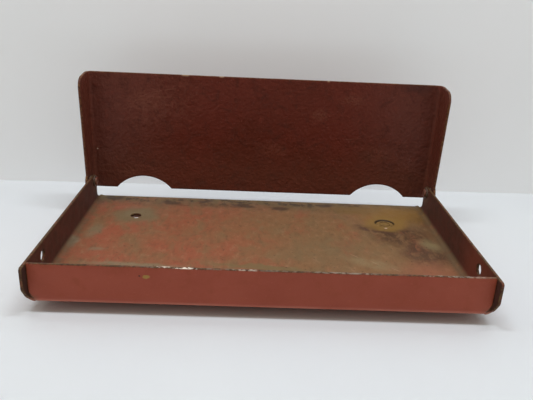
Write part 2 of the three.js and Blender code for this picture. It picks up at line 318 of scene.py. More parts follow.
def lip_v(height):
    """Where a height on the front wall lies in the blank."""
    if height > LIP_BEND:
        return FOLD_Y - LIP_SPREAD - (height - LIP_BEND)
    return FOLD_Y - LIP_SPREAD * math.acos(1 - height / LIP_BEND) / (math.pi / 2)


def place_tray(u, v, h):
    side = np.sign(u)
    out, up = quarter(np.abs(u) - FOLD_X, h, WALL_BEND)
    past = np.abs(u) > FOLD_X
    x = np.where(past, side * (FOLD_X + out), u)
    y = v.copy()
    z = np.where(past, up, h)
    lip = (v < FOLD_Y) & ((np.abs(u) < FOLD_X - 0.25 * MM) | (v < TRAY_FRONT))
    real = (LIP_BEND - SHEET / 2) * math.pi / 2
    along = FOLD_Y - v
    along = np.where(along < LIP_SPREAD, along * real / LIP_SPREAD, along - LIP_SPREAD + real)
    out, up = quarter(along, h, LIP_BEND)
    x = np.where(lip, u, x)
    y = np.where(lip, FOLD_Y - out, y)
    z = np.where(lip, up, z)
    # the floor rises and the front wall leans back by a hair, never outward
    middle = (1 - (u / FOLD_X) ** 2).clip(0, 1) * (1 - ((v - 0.01) / 0.115) ** 2).clip(0, 1)
    floor = (~lip) & (np.abs(u) < FOLD_X)
    z = z + np.where(floor, 0.45 * MM * middle * waves(u, v, 0.045, 2), 0)
    y = y + np.where(lip, 0.35 * MM * waves(u, v * 0, 0.05, 5) * (up / LIP_HEIGHT).clip(0, 1), 0)
    wall_lean = np.where(past & ~lip, 0.35 * MM * waves(v, u * 0, 0.05, 9) * (z / WALL_HEIGHT), 0)
    x = x - side * wall_lean
    return np.stack([x, y, z + FLOOR_Z], 1)


def seat_drop(u, v):
    distance = np.hypot(u - HOLE_X, v - HOLE_Y)
    return SEAT_DEPTH * np.clip((SEAT_RADIUS - distance) / (0.25 * MM), 0, 1)


def wall_u(height):
    """Where a height on a side wall lies in the blank."""
    if height > WALL_BEND:
        return FOLD_X + SIDE_ARC + height - WALL_BEND
    return FOLD_X + SIDE_ARC * math.acos(1 - height / WALL_BEND) / (math.pi / 2)


def tray_outline():
    stub = wall_u(STUB_HEIGHT)
    right = [(LIP_HALF, LIP_TOP_V, 1.2 * MM)]
    for k in range(8, -1, -1):
        height = LIP_CLIP * k / 8
        half = LIP_LOW_HALF + (LIP_HALF - LIP_LOW_HALF) * (k / 8) ** 0.75
        right.append((half, lip_v(height), 0))
    right += [
        (FOLD_X, FOLD_Y, 0.5 * MM),
        (FOLD_X, WALL_CLIP_Y, 0.7 * MM),
        (wall_u(WALL_CLIP_LOW), WALL_CLIP_Y, 2.5 * MM),
        (wall_u(WALL_CLIP_HIGH), TRAY_FRONT, 6 * MM),
        (WALL_END, TRAY_FRONT, 2.6 * MM),
        (WALL_END, WALL_REAR, WALL_REAR_ROUND),
        (stub, WALL_REAR, STUB_ROUND),
        (stub, TRAY_REAR, STUB_END_ROUND),
    ]
    left = [(-u, v, radius) for u, v, radius in reversed(right)]
    return rounded(right + left)


def build_tray():
    loops = [wobbled(dense(tray_outline()), EDGE_WANDER)]
    side_hole = wall_u(SIDE_HOLE_HEIGHT)
    pivot_hole = wall_u(PIVOT_Z - FLOOR_Z)
    for side in (-1, 1):
        loops.append(circle(side * side_hole, SIDE_HOLE_Y, SIDE_HOLE_RADIUS))
        loops.append(circle(side * pivot_hole, PIVOT_Y, PIVOT_HOLE))
        for y in (-HOLE_Y, HOLE_Y):
            loops.append(circle(side * HOLE_X, y, HOLE_RADIUS))
    columns = spaced(-FOLD_X, FOLD_X, GRID_STEP)
    for side in (-1, 1):
        columns += [side * u for u in fold_rows(FOLD_X, SIDE_ARC)[1:]]
        columns += [side * u for u in spaced(FOLD_X + SIDE_ARC, WALL_END, GRID_STEP)[1:]]
    rows = spaced(FOLD_Y, TRAY_REAR, GRID_STEP)
    rows += [FOLD_Y - LIP_SPREAD * k / BEND_ROWS for k in range(1, BEND_ROWS + 1)]
    rows += spaced(LIP_TOP_V, FOLD_Y - LIP_SPREAD, GRID_STEP)[:-1]
    extra = []
    for radius in (-0.5, -0.25, 0, 0.35, 1.2):
        extra += [p[:] for p in circle(HOLE_X, HOLE_Y, SEAT_RADIUS + radius * MM, 72)]
    tray = sheet_piece("tray_sheet", loops, columns, rows, place_tray, extra, seat_drop)
    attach(tray, "tray")
    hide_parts("tray_pan")
    return tray


# ---------------------------------------------------------------- guard

GUARD_FOLD = guard_high.x - GUARD_BEND
GUARD_ARC = (GUARD_BEND - SHEET / 2) * math.pi / 2
CHEEK_START = GUARD_FOLD + GUARD_ARC


def cheek_u(y):
    """Where a place on a cheek lies in the blank."""
    return CHEEK_START + (GUARD_REAR - GUARD_BEND) - y


def place_guard(u, v, h):
    side = np.sign(u)
    out, up = quarter(np.abs(u) - GUARD_FOLD, h, GUARD_BEND)
    past = np.abs(u) > GUARD_FOLD
    x = np.where(past, side * (GUARD_FOLD + out), u)
    deep = np.where(past, up, h)
    face = (1 - (u / GUARD_FOLD) ** 2).clip(0, 1)
    bow = 0.5 * MM * face * waves(u, v, 0.04, 4)
    return np.stack([x, GUARD_REAR - deep - bow, v], 1)


def guard_outline():
    ear_u = cheek_u(PIVOT_Y)
    front_low = cheek_u(CHEEK_LOW_FRONT)
    front_turn = math.acos((front_low - ear_u) / EAR_RADIUS)
    right = []
    notch_middle = NOTCH_TOP - NOTCH_RADIUS
    spread = math.acos((GUARD_BOTTOM - notch_middle) / NOTCH_RADIUS)
    for k in range(25):
        turn = spread * (k / 12 - 1)
        u = HOLE_X + NOTCH_RADIUS * math.sin(turn)
        right.append((u, notch_middle + NOTCH_RADIUS * math.cos(turn), 0 if 0 < k < 24 else 0.8 * MM))
    right.append((GUARD_FOLD, GUARD_BOTTOM, 0))
    low_turn = -math.pi / 2 - 0.08
    for k in range(25):
        turn = low_turn + (front_turn - low_turn) * k / 24
        right.append((ear_u + EAR_RADIUS * math.cos(turn), PIVOT_Z + EAR_RADIUS * math.sin(turn), 0))
    right.append((cheek_u(CHEEK_FRONT), GUARD_TOP - CHEEK_DROP, 11 * MM))
    right.append((CHEEK_START + 2.3 * MM, GUARD_TOP, 12 * MM))
    left = [(-u, v, radius) for u, v, radius in reversed(right)]
    return rounded(left + right)


def build_guard():
    loops = [wobbled(dense(guard_outline()), EDGE_WANDER)]
    for side in (-1, 1):
        loops.append(circle(side * cheek_u(PIVOT_Y), PIVOT_Z, PIVOT_HOLE))
    columns = spaced(-GUARD_FOLD, GUARD_FOLD, GRID_STEP)
    for side in (-1, 1):
        columns += [side * u for u in fold_rows(GUARD_FOLD, GUARD_ARC)[1:]]
        columns += [side * u for u in spaced(CHEEK_START, cheek_u(CHEEK_FRONT), GRID_STEP)[1:]]
    rows = spaced(GUARD_BOTTOM, GUARD_TOP, GRID_STEP)
    guard = sheet_piece("guard_sheet", loops, columns, rows, place_guard)
    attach(guard, "guard")
    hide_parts("splash_guard")
    return guard


# ---------------------------------------------------------------- turned hardware

def lathe(name, profile, frame_matrix, count=64, closed=False, rough=0.0, seed=1.0):
    """A profile of (radius, along) turned about an axis. An open profile starts and ends on the axis."""
    vertices = []
    faces = []
    ids = []
    for radius, along in profile:
        if radius == 0:
            ids.append([len(vertices)] * count)
            vertices.append(Vector((0, 0, along)))
            continue
        ids.append(list(range(len(vertices), len(vertices) + count)))
        for k in range(count):
            angle = 2 * math.pi * k / count
            point = Vector((radius * math.cos(angle), radius * math.sin(angle), along))
            shrink = rough * (0.5 + 0.5 * noise.noise(point * 600 + Vector((seed, seed, seed))))
            point.x *= 1 - shrink
            point.y *= 1 - shrink
            vertices.append(point)
    pairs = list(zip(ids, ids[1:]))
    if closed:
        pairs.append((ids[-1], ids[0]))
    for lower, upper in pairs:
        for k in range(count):
            after = (k + 1) % count
            face = []
            for vertex in (lower[k], lower[after], upper[after], upper[k]):
                if vertex not in face:
                    face.append(vertex)
            if len(face) > 2:
                faces.append(face)
    return mesh_object(name, [frame_matrix @ v for v in vertices], faces)


def smooth_profile(points, radius, steps=4):
    """Rounds the corners of a (radius, along) profile, keeping its first and last points."""
    result = [Vector(points[0])]
    for before, here, after in zip(points, points[1:], points[2:]):
        here = Vector(here)
        back = Vector(before) - here
        ahead = Vector(after) - here
        cut = min(radius, back.length * 0.45, ahead.length * 0.45)
        first = here + back.normalized() * cut
        last = here + ahead.normalized() * cut
        for k in range(steps + 1):
            t = k / steps
            result.append(first.lerp(here, t).lerp(here.lerp(last, t), t))
    result.append(Vector(points[-1]))
    return [(p.x, p.y) for p in result]


def pivot_frame(side):
    """Local +Z runs outward along the pivot."""
    turn = Matrix.Rotation(side * math.pi / 2, 4, "Y")
    return Matrix.Translation((0, PIVOT_Y, PIVOT_Z)) @ turn


def build_rivet(side, label):
    low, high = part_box(f"pivot_rivet_{label}")
    inner = min(abs(low.x), abs(high.x))
    outer = max(abs(low.x), abs(high.x))
    head = outer - 2 * MM
    tail = inner + 1.9 * MM
    profile = smooth_profile([
        (0, inner),
        (3.1 * MM, inner + 0.05 * MM),
        (4.3 * MM, inner + 0.7 * MM),
        (4.5 * MM, tail),
        (2.4 * MM, tail),
        (2.4 * MM, head),
        (6.0 * MM, head),
        (5.7 * MM, head + 0.8 * MM),
        (4.5 * MM, head + 1.5 * MM),
        (2.3 * MM, head + 1.9 * MM),
        (0, outer),
    ], 0.5 * MM)
    rivet = lathe(f"rivet_{label}", profile, pivot_frame(side), rough=0.025, seed=side * 3.0)
    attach(rivet, "tray")
    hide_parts(f"pivot_rivet_{label}")
    return rivet


def build_washer(node, name, side):
    low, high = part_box(node)
    inner = min(abs(low.x), abs(high.x))
    outer = max(abs(low.x), abs(high.x))
    radius = (high.z - low.z) / 2
    soft = 0.22 * MM
    profile = [
        (PIVOT_HOLE, inner + soft),
        (PIVOT_HOLE + soft, inner),
        (radius - soft * 1.6, inner),
        (radius - soft * 0.4, inner + soft * 0.5),
        (radius, inner + soft * 1.5),
        (radius, outer - soft * 1.5),
        (radius - soft * 0.4, outer - soft * 0.5),
        (radius - soft * 1.6, outer),
        (PIVOT_HOLE + soft, outer),
        (PIVOT_HOLE, outer - soft),
    ]
    washer = lathe(name, profile, pivot_frame(side), closed=True, rough=0.012, seed=side * 5.0)
    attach(washer, "tray")
    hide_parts(node)
    return washer


THREAD_PITCH = 1.5875 * MM
BORE_MINOR = 4.1 * MM
BORE_MAJOR = 4.65 * MM
NUT_FLATS = nut_high.y - nut_low.y


def build_nut(node, name):
    """A hex nut with chamfered corners and a real thread in its bore."""
    low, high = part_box(node)
    middle = Vector(((low.x + high.x) / 2, (low.y + high.y) / 2, 0))
    around = 96
    corner = NUT_FLATS / math.sqrt(3)
    height = high.z - low.z
    vertices = []
    rows = []

    def add_row(z, radius_at):
        rows.append(len(vertices))
        for k in range(around):
            angle = 2 * math.pi * k / around
            radius = radius_at(angle)
            point = Vector((radius * math.cos(angle), radius * math.sin(angle), z))
            vertices.append(point + middle + Vector((0, 0, low.z)))

    def hexagon(angle):
        return NUT_FLATS / 2 / math.cos((angle % (math.pi / 3)) - math.pi / 6)

    for k in range(9):
        cone = corner - 1.3 * MM + k * 0.2 * MM
        add_row(k * 0.11 * MM, lambda a, cone=cone: min(hexagon(a), cone))
    for k in range(9):
        cone = corner - 1.3 * MM + (8 - k) * 0.2 * MM
        add_row(height - (8 - k) * 0.11 * MM, lambda a, cone=cone: min(hexagon(a), cone))
    thread_rows = 40
    for k in range(thread_rows + 1):
        z = height * (1 - k / thread_rows)
        mouth = 0.5 * MM * max(0, 1 - min(z, height - z) / (0.6 * MM))

        def threaded(angle, z=z, mouth=mouth):
            phase = (z / THREAD_PITCH + angle / (2 * math.pi)) % 1
            depth = 1 - abs(2 * phase - 1)
            return max(BORE_MINOR + (BORE_MAJOR - BORE_MINOR) * depth, BORE_MINOR + mouth)

        add_row(z, threaded)
    faces = []
    for first, second in zip(rows, rows[1:] + rows[:1]):
        for k in range(around):
            after = (k + 1) % around
            faces.append((first + k, first + after, second + after, second + k))
    nut = mesh_object(name, vertices, faces)
    split = nut.modifiers.new("flats", "EDGE_SPLIT")
    split.split_angle = math.radians(28)
    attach(nut, "tray")
    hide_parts(node)
    return nut


def build_beads(node, name):
    """Three tack welds that join a nut's upper edge to the floor above it."""
    low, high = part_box(node)
    vertices = []
    faces = []
    for third in range(3):
        angle = math.radians(30 + 120 * third)
        turn = Matrix.Rotation(angle, 4, "Z")
        place = Matrix.Translation(((low.x + high.x) / 2, (low.y + high.y) / 2, high.z - 0.3 * MM))
        start = len(vertices)
        rings = 14
        around = 22
        for i in range(rings + 1):
            polar = math.pi * i / rings
            for k in range(around):
                azimuth = 2 * math.pi * k / around
                way = Vector((
                    math.sin(polar) * math.cos(azimuth),
                    math.cos(polar),
                    math.sin(polar) * math.sin(azimuth),
                ))
                lump = 1 + 0.22 * noise.noise(way * 2.3 + Vector((third, low.x * 90, low.y * 90)))
                local = Vector((way.x * 1.7 * MM, way.y * 3.0 * MM, way.z * 1.25 * MM)) * lump
                local.x += NUT_FLATS / 2
                local.z = min(local.z, 0.5 * MM)
                vertices.append(place @ turn @ local)
        for i in range(rings):
            for k in range(around):
                after = (k + 1) % around
                a = start + i * around
                b = a + around
                if i == 0:
                    faces.append((a, b + k, b + after))
                elif i == rings - 1:
                    faces.append((a + k, b, a + after))
                else:
                    faces.append((a + k, b + k, b + after, a + after))
    beads = mesh_object(name, vertices, faces)
    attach(beads, "tray")
    return beads


def build_screw():
    """A thin flat head with a slot across it, and a threaded shank in the nut."""
    middle = Vector(((screw_low.x + screw_high.x) / 2, (screw_low.y + screw_high.y) / 2, 0))
    head_radius = (screw_high.x - screw_low.x) / 2 - 0.3 * MM
    shift = Vector((0, -0.8 * MM, 0))  # the head sits a little towards the front of its seat
    head_low = screw_high.z - 0.9 * MM
    step_z = screw_high.z - 0.12 * MM
    spot = Matrix.Translation(middle + shift)
    disc = lathe("screw_disc", [
        (0, head_low),
        (head_radius - 0.3 * MM, head_low),
        (head_radius, head_low + 0.2 * MM),
        (head_radius, step_z - 0.1 * MM),
        (head_radius - 0.1 * MM, step_z),
        (0, step_z),
    ], spot, rough=0.01)
    vertices = []
    faces = []
    slot_half = 0.45 * MM
    for side in (-1, 1):
        reach = math.acos(slot_half / head_radius)
        layers = ((0, step_z - 0.05 * MM), (0, step_z + 0.04 * MM), (0.2 * MM, screw_high.z))
        start = len(vertices)
        pieces = 32
        for inset, z in layers:
            for k in range(pieces + 1):
                turn = reach * (2 * k / pieces - 1)
                x = (head_radius - inset) * math.cos(turn)
                y = (head_radius - inset) * math.sin(turn)
                x = max(x, slot_half + inset)
                local = Vector((x, y, z)) if side > 0 else Vector((-x, -y, z))
                local.rotate(Matrix.Rotation(math.radians(35), 3, "Z"))
                vertices.append(middle + shift + local)
        row = pieces + 1
        for layer in range(2):
            for k in range(row):
                after = (k + 1) % row
                a = start + layer * row
                faces.append((a + k, a + after, a + row + after, a + row + k))
        faces.append([start + 2 * row + k for k in range(row)])
        faces.append([start + row - 1 - k for k in range(row)])
    tops = mesh_object("screw_tops", vertices, faces, smooth=False)
    shank = []
    length = head_low - screw_low.z
    turns = 44
    for k in range(turns + 1):
        z = screw_low.z + length * k / turns
        phase = (k * length / turns / THREAD_PITCH) % 1
        radius = 3.35 * MM + 0.5 * MM * (1 - abs(2 * phase - 1))
        shank.append((radius * min(1, 0.8 + 0.1 * k), z))
    stem = lathe("screw_stem", [(0, screw_low.z)] + shank + [(0, head_low + 0.1 * MM)], Matrix.Translation(middle))
    screw = joined([disc, tops, stem], "screw")
    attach(screw, "tray")
    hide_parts("floor_screw")
    return screw


def joined(objects, name):
    """One object from several, made by copying their meshes together."""
    vertices = []
    faces = []
    smooth = []
    for made in objects:
        start = len(vertices)
        vertices += [v.co.copy() for v in made.data.vertices]
        for face in made.data.polygons:
            faces.append([start + k for k in face.vertices])
            smooth.append(face.use_smooth)
        bpy.data.objects.remove(made)
    result = mesh_object(name, vertices, faces)
    result.data.polygons.foreach_set("use_smooth", smooth)
    return result


# ---------------------------------------------------------------- materials

FAR = 1.0  # a reach that takes in the whole object, for marks that run right through a sheet


def linear(red, green, blue):
    """A colour given in 0-255 display values, as the linear values that a shader takes."""
    def one(value):
        value /= 255
        return value / 12.92 if value <= 0.04045 else ((value + 0.055) / 1.055) ** 2.4
    return (one(red), one(green), one(blue), 1.0)


class Look:
    """A small builder of node materials in the object's own coordinates."""

    def __init__(self, name):
        self.material = bpy.data.materials.new(name)
        self.material.use_nodes = True
        self.tree = self.material.node_tree
        self.shader = self.tree.nodes["Principled BSDF"]
        self.place = self.add("ShaderNodeTexCoord").outputs["Object"]

    def add(self, kind, **settings):
        node = self.tree.nodes.new(kind)
        for key, value in settings.items():
            setattr(node, key, value)
        return node

    def put(self, socket, value):
        if isinstance(value, bpy.types.NodeSocket):
            self.tree.links.new(value, socket)
        else:
            socket.default_value = value

    def math(self, operation, a, b=0.0, clamp=False):
        node = self.add("ShaderNodeMath", operation=operation, use_clamp=clamp)
        self.put(node.inputs[0], a)
        self.put(node.inputs[1], b)
        return node.outputs[0]

    def times(self, *factors):
        """The product of sockets and numbers."""
        product = factors[0]
        for factor in factors[1:]:
            product = self.math("MULTIPLY", product, factor)
        return product

    def span(self, value, low, high, to_low=0.0, to_high=1.0):
        """The value eased from one range to another."""
        node = self.add("ShaderNodeMapRange", interpolation_type="SMOOTHSTEP")
        self.put(node.inputs["Value"], value)
        node.inputs["From Min"].default_value = low
        node.inputs["From Max"].default_value = high
        node.inputs["To Min"].default_value = to_low
        node.inputs["To Max"].default_value = to_high
        return node.outputs["Result"]

    def noise(self, scale, detail=4.0, rough=0.55, stretch=(1, 1, 1), shift=0.0, twist=0.0):
        mapping = self.add("ShaderNodeMapping")
        self.put(mapping.inputs["Vector"], self.place)
        mapping.inputs["Scale"].default_value = stretch
        mapping.inputs["Location"].default_value = (shift, shift * 0.7, shift * 1.3)
        node = self.add("ShaderNodeTexNoise")
        self.put(node.inputs["Vector"], mapping.outputs["Vector"])
        node.inputs["Scale"].default_value = scale
        node.inputs["Detail"].default_value = detail
        node.inputs["Roughness"].default_value = rough
        node.inputs["Distortion"].default_value = twist
        return node.outputs["Fac"]

    def mix(self, amount, a, b):
        node = self.add("ShaderNodeMix", data_type="RGBA")
        self.put(node.inputs[0], amount)
        self.put(node.inputs[6], a)
        self.put(node.inputs[7], b)
        return node.outputs[2]

    def layer(self, base, tone, *factors):
        """The base colour covered by a 0-255 tone, as far as the product of the factors."""
        return self.mix(self.times(*factors), base, linear(*tone))

    def axis(self, name):
        node = self.add("ShaderNodeSeparateXYZ")
        self.put(node.inputs[0], self.place)
        return node.outputs[name]

    def facing(self, name):
        node = self.add("ShaderNodeSeparateXYZ")
        self.put(node.inputs[0], self.add("ShaderNodeNewGeometry").outputs["Normal"])
        return node.outputs[name]

    def attribute(self, name):
        return self.add("ShaderNodeAttribute", attribute_name=name).outputs["Fac"]

    def ragged(self, amount, scale):
        """The place, shaken by noise, for marks with uneven outlines."""
        node = self.add("ShaderNodeTexNoise")
        self.put(node.inputs["Vector"], self.place)
        node.inputs["Scale"].default_value = scale
        node.inputs["Detail"].default_value = 4.0
        centred = self.add("ShaderNodeVectorMath", operation="SUBTRACT")
        self.put(centred.inputs[0], node.outputs["Color"])
        centred.inputs[1].default_value = (0.5, 0.5, 0.5)
        scaled = self.add("ShaderNodeVectorMath", operation="SCALE")
        self.put(scaled.inputs[0], centred.outputs[0])
        scaled.inputs["Scale"].default_value = amount
        moved = self.add("ShaderNodeVectorMath", operation="ADD")
        self.put(moved.inputs[0], self.place)
        self.put(moved.inputs[1], scaled.outputs[0])
        return moved.outputs[0]

    def spot(self, centre, radii, turn=0.0, about="Z", solid=0.3, where=None):
        """A mask that is 1 in an ellipsoid's middle and falls to 0 at its surface."""
        mapping = self.add("ShaderNodeMapping", vector_type="TEXTURE")
        self.put(mapping.inputs["Vector"], self.place if where is None else where)
        mapping.inputs["Location"].default_value = centre
        mapping.inputs["Rotation"].default_value = (0, turn, 0) if about == "Y" else (0, 0, turn)
        mapping.inputs["Scale"].default_value = radii
        length = self.add("ShaderNodeVectorMath", operation="LENGTH")
        self.put(length.inputs[0], mapping.outputs[0])
        return self.span(length.outputs["Value"], solid, 1.0, 1.0, 0.0)

    def line(self, start, end, width, plane, where=None):
        """A thin mark from start to end, given in mm on the floor (x, y) or on an upright face (x, z)."""
        a = Vector(start) * MM
        b = Vector(end) * MM
        middle = (a + b) / 2
        half = (b - a).length / 2
        angle = math.atan2(b.y - a.y, b.x - a.x)
        if plane == "floor":
            centre = (middle.x, middle.y, FLOOR_TOP)
            return self.spot(centre, (half, width * MM, FAR), angle, "Z", 0.55, where)
        centre = (middle.x, 0, middle.y + FLOOR_Z)
        return self.spot(centre, (half, FAR, width * MM), -angle, "Y", 0.55, where)

    def lines(self, marks, plane, where):
        """Several thin marks, each with its start, end and width, in one mask."""
        mask = 0.0
        for start, end, width in marks:
            mask = self.math("MAXIMUM", self.line(start, end, width, plane, where), mask)
        return mask

    def bump(self, height, strength, distance, onto=None):
        node = self.add("ShaderNodeBump")
        node.inputs["Strength"].default_value = strength
        node.inputs["Distance"].default_value = distance
        self.put(node.inputs["Height"], height)
        if onto is not None:
            self.put(node.inputs["Normal"], onto)
        return node.outputs["Normal"]

    def finish(self, color, roughness, normal, metallic=0.0, specular=0.5):
        self.put(self.shader.inputs["Base Color"], color)
        self.put(self.shader.inputs["Roughness"], roughness)
        self.put(self.shader.inputs["Metallic"], metallic)
        self.shader.inputs["Specular IOR Level"].default_value = specular
        self.put(self.shader.inputs["Normal"], normal)
        return self.material


DARK_RUST = linear(70, 38, 24)


def worn_edges(look, color, bare, tone):
    """Raw rusty metal where the paint has gone from cut edges."""
    edge = look.span(look.attribute("edge"), 0.2, 1.0)
    patchy = look.span(look.noise(160, 4), 0.38, 0.62)
    amount = look.math("MULTIPLY", edge, look.math("ADD", look.times(patchy, 0.75), bare), True)
    rust_and_lit_patch = look.mix(look.span(look.noise(420, 3), 0.35, 0.65), linear(*tone), DARK_RUST)
    return look.mix(amount, color, rust_and_lit_patch), amount


def wall_color(look, y, broad, medium, streaks, inner):
    """Red-brown primer, a little uneven, darker brown on the side walls' inner faces, with painted shade where
    they stand out past the front wall.
    """
    wall = look.mix(look.span(broad, 0.3, 0.7), linear(163, 77, 54), linear(155, 70, 47))
    wall = look.layer(wall, (146, 68, 40), look.span(medium, 0.5, 0.75, 0.0, 0.6))
    wall = look.layer(wall, (176, 92, 68), look.span(look.noise(430, 3, 0.6), 0.6, 0.75, 0.0, 0.4))
    inner_tone = look.mix(look.span(streaks, 0.35, 0.65), linear(98, 52, 40), linear(80, 48, 34))
    # painted shade where the side walls stand out past the front wall, redder on the right one behind it
    past = look.span(y, TRAY_FRONT + 6 * MM, TRAY_FRONT + 9 * MM, 0.75, 0.0)
    inner_tone = look.layer(inner_tone, (54, 32, 24), past)
    centre = (TRAY_HALF, TRAY_FRONT + 48 * MM, 26 * MM)
    redder = look.spot(centre, (20 * MM, 50 * MM, 40 * MM), solid=0.2, where=look.ragged(8 * MM, 60))
    inner_tone = look.layer(inner_tone, (124, 62, 44), redder, 0.75)
    return look.mix(inner, wall, inner_tone)


def floor_color(look, x, broad):
    """The same paint, faded to red-tan at the left and olive-tan at the right, and mottled."""
    grain = look.noise(200, 6, 0.72, stretch=(1, 0.45, 1), shift=6.3, twist=0.4)
    patches = look.noise(58, 6, 0.66, stretch=(1, 0.55, 1), shift=2.6, twist=0.4)
    ruddy = look.noise(44, 5, 0.65, stretch=(1, 0.6, 1), shift=1.7)
    to_right = look.span(look.math("ADD", x, look.times(broad, 0.16)), -0.04, 0.15)
    faded = look.mix(to_right, linear(149, 80, 55), linear(132, 96, 62))
    faded = look.layer(faded, (130, 92, 60), look.span(broad, 0.42, 0.62, 0.0, 0.5))
    faded = look.layer(faded, (124, 96, 64), look.span(patches, 0.44, 0.64, 0.0, 0.7))
    faded = look.layer(faded, (148, 76, 52), look.span(ruddy, 0.5, 0.7, 0.0, 0.55))
    faded = look.layer(faded, (100, 70, 46), look.span(grain, 0.5, 0.68, 0.0, 0.45))
    faded = look.layer(faded, (160, 120, 90), look.span(grain, 0.46, 0.34, 0.0, 0.35))
    return look.layer(faded, (88, 56, 36), look.span(look.noise(760, 2), 0.6, 0.74, 0.0, 0.55))


REAR_BLOTCHES = [  # x, y and reach in mm
    (-155, 105, 11), (-98, 97, 14), (-60, 104, 12), (-17, 94, 15), (20, 90, 11), (70, 104, 13),
]
FLOOR_MARKS = [  # tone, strength, place and reach in mm, turn, solid share of the reach, streaky or not
    # grey-olive patches at the left and an olive band near the front
    ((134, 124, 100), 0.8, (-172, -4), (9, 16), 0, 0.3, False),
    ((130, 118, 92), 0.5, (-146, -19), (12, 5), 0, 0.3, False),
    ((126, 112, 84), 0.55, (-160, 20), (10, 22), 0, 0.3, False),
    ((128, 116, 90), 0.7, (-110, -45), (60, 6), -0.03, 0.2, False),
    ((116, 98, 64), 0.75, (2, -43), (64, 6), -0.09, 0.3, False),
    # golden-brown rear right corner
    ((136, 98, 42), 0.9, (146, 84), (60, 34), 0, 0.3, False),
    ((122, 90, 46), 0.75, (100, 92), (38, 16), 0, 0.3, False),
    # a faint oil stain in the middle and the dark one in front of the right hole
    ((116, 96, 66), 0.6, (60, -4), (70, 40), 0.1, 0.1, True),
    ((76, 50, 30), 0.95, (139, 30), (46, 38), -0.5, 0.3, True),
    ((74, 44, 34), 0.9, (118, 46), (34, 12), -0.2, 0.4, True),
    ((78, 52, 36), 0.85, (152, -8), (34, 34), -0.4, 0.35, True),
    ((92, 64, 40), 0.6, (165, 62), (16, 30), 0.1, 0.2, True),
    # pale and red patches round its front
    ((142, 126, 88), 0.6, (162, 12), (14, 20), 0.5, 0.1, False),
    ((150, 84, 62), 0.6, (148, -44), (50, 32), 0.1, 0.0, False),
    ((142, 124, 90), 0.65, (98, -30), (34, 12), -0.35, 0.1, True),
    # heat rings round the rear floor holes
    ((116, 100, 70), 0.85, (-127, 60), (30, 26), 0, 0.45, False),
    ((124, 104, 74), 0.6, (-127, 64), (17, 13), 0, 0.4, False),
    ((138, 104, 48), 0.85, (128, 60), (29, 25), 0, 0.5, False),
]


def floor_stains(look, faded, y):
    """A darker olive band along the rear edge, with bitten patches, then the stains and specks."""
    rear = look.span(y, TRAY_REAR - 34 * MM, TRAY_REAR - 6 * MM)
    broken = look.span(look.noise(70, 5, 0.65, shift=3.0), 0.3, 0.6, 0.35, 1.0)
    bitten = look.span(look.noise(90, 6, 0.75, shift=7.7), 0.5, 0.58)
    faded = look.layer(faded, (102, 82, 52), rear, broken, 0.95)
    faded = look.layer(faded, (66, 46, 30), bitten, rear, 0.85)
    ragged = look.ragged(14 * MM, 60)
    brushed = look.noise(120, 6, 0.75, stretch=(1, 0.6, 1), shift=5.1, twist=1.0)
    brushed = look.span(brushed, 0.34, 0.6, 0.25, 1.0)
    blotches = [
        ((72, 48, 32), 0.8, (x0, y0), (size, size * 0.55), 0, 0.3, False) for x0, y0, size in REAR_BLOTCHES
    ]
    for tone, strength, place, reach, turn, solid, streaky in blotches + FLOOR_MARKS:
        centre = (place[0] * MM, place[1] * MM, FLOOR_TOP)
        mask = look.spot(centre, (reach[0] * MM, reach[1] * MM, FAR), turn, "Z", solid, ragged)
        if streaky:
            mask = look.times(mask, brushed)
        faded = look.layer(faded, tone, mask, strength)
    specks = look.span(look.noise(310, 3, 0.6, shift=2.2), 0.64, 0.71)
    return look.layer(faded, (70, 42, 28), specks, 0.7)


def hole_marks(look, faded):
    """Painted shade in an arc round the screw's head, thickest behind it, and a painted glint by each hole."""
    # painted shade: a dark arc along the rear of the screw's seat, where its rear wall lies in shade
    arc_shade_outer = look.spot((HOLE_X, HOLE_Y + 0.9 * MM, FLOOR_TOP), (11.2 * MM, 10.8 * MM, FAR), solid=0.86)
    arc_shade_cut = look.spot((HOLE_X, HOLE_Y - 2.4 * MM, FLOOR_TOP), (10.6 * MM, 10.4 * MM, FAR), solid=0.9)
    faded = look.layer(faded, (44, 30, 18), look.math("SUBTRACT", arc_shade_outer, arc_shade_cut, True), 0.9)
    # painted glints on the near rims of the two rear floor holes
    left = (-HOLE_X + 1.2 * MM, HOLE_Y - 5.6 * MM, FLOOR_TOP)
    faded = look.layer(faded, (226, 218, 212), look.spot(left, (2.6 * MM, 1.6 * MM, FAR), solid=0.5))
    right = (HOLE_X - 1 * MM, HOLE_Y - 11 * MM, FLOOR_TOP)
    return look.layer(faded, (206, 176, 160), look.spot(right, (2.0 * MM, 1.6 * MM, FAR), solid=0.4))


